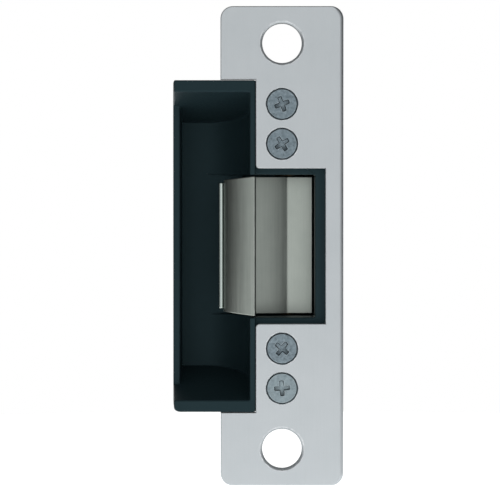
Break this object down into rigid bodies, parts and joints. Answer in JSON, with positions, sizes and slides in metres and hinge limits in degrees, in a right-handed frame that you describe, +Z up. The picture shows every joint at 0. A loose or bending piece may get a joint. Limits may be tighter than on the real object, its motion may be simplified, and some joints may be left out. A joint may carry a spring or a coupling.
{
  "type": "electric door strike",
  "caption": "Electric door strike: standard strike plate with a pivoting steel jaw, a locking lever and a push solenoid in a black cast housing.",
  "frame": {"origin": "midway between the two jamb screw holes, on the plate's back face", "axes": "-Y out of the jamb towards the door edge, +Z up along the plate, +X away from the lip"},
  "size_m": [0.0443, 0.0412, 0.1238],
  "materials": {
    "faceplate_steel": "satin stainless",
    "black_casting": "satin black powder coat on zinc",
    "jaw_steel": "brushed stainless",
    "zinc_screw": "zinc plated steel",
    "pin_steel": "ground steel",
    "clip_steel": "phosphated spring steel",
    "washer_bronze": "bronze",
    "spring_steel": "spring wire",
    "lever_steel": "stamped steel",
    "frame_steel": "zinc plated steel",
    "bobbin_nylon": "moulded nylon",
    "copper_winding": "enamelled copper wire",
    "coil_tape": "polyester tape",
    "soft_iron": "nickel plated iron",
    "rod_brass": "turned brass",
    "cover_black": "satin black coat on steel",
    "board_green": "solder mask on glass epoxy",
    "diode_epoxy": "moulded epoxy",
    "socket_nylon": "moulded nylon",
    "contact_brass": "tinned brass",
    "lead_insulation": "insulated wire"
  },
  "bodies": {
    "root": {"faceplate": "faceplate_steel", "strike_body": "black_casting", "plate_screws": "zinc_screw", "jaw_pin": "pin_steel", "jaw_pin_clips": "clip_steel", "thrust_washers": "washer_bronze", "jaw_spring": "spring_steel", "lever_pin": "pin_steel", "lever_pin_clips": "clip_steel", "lever_spring": "spring_steel", "solenoid_frame": "frame_steel", "solenoid_bobbin": "bobbin_nylon", "coil_winding": "copper_winding", "coil_tape": "coil_tape", "pole_core": "soft_iron", "solenoid_screws": "zinc_screw", "rear_cover": "cover_black", "cover_screws": "zinc_screw", "circuit_board": "board_green", "board_screws": "zinc_screw", "suppressor_diode": "diode_epoxy", "connector_socket": "socket_nylon", "connector_pins": "contact_brass", "coil_leads": "lead_insulation"},
    "jaw": {"jaw": "jaw_steel"},
    "lever": {"locking_lever": "lever_steel"},
    "plunger": {"plunger": "soft_iron", "push_rod": "rod_brass"}
  },
  "joints": [
    {"name": "jaw_pivot", "type": "hinge", "parent": "root", "child": "jaw", "pos_m": [0.002, 0.0205, 0], "axis": [0, 0, -1], "range_deg": [0, 40], "stiffness_Nm_per_rad": 0.03, "springref_deg": -22.92, "deforming": ["jaw_spring"]},
    {"name": "plunger_slide", "type": "slide", "parent": "root", "child": "plunger", "axis": [0, 1, 0], "range_m": [0, 0.0032]},
    {"name": "lever_pivot", "type": "hinge", "parent": "root", "child": "lever", "pos_m": [0.00495, 0.0337, 0.016], "axis": [-1, 0, 0], "range_deg": [0, 12.9], "stiffness_Nm_per_rad": 0.02, "springref_deg": -22.92, "deforming": ["lever_spring"]}
  ],
  "couplings": [
    {"joint": "lever_pivot", "follows": "plunger_slide", "rad_per_m": 70.35}
  ]
}
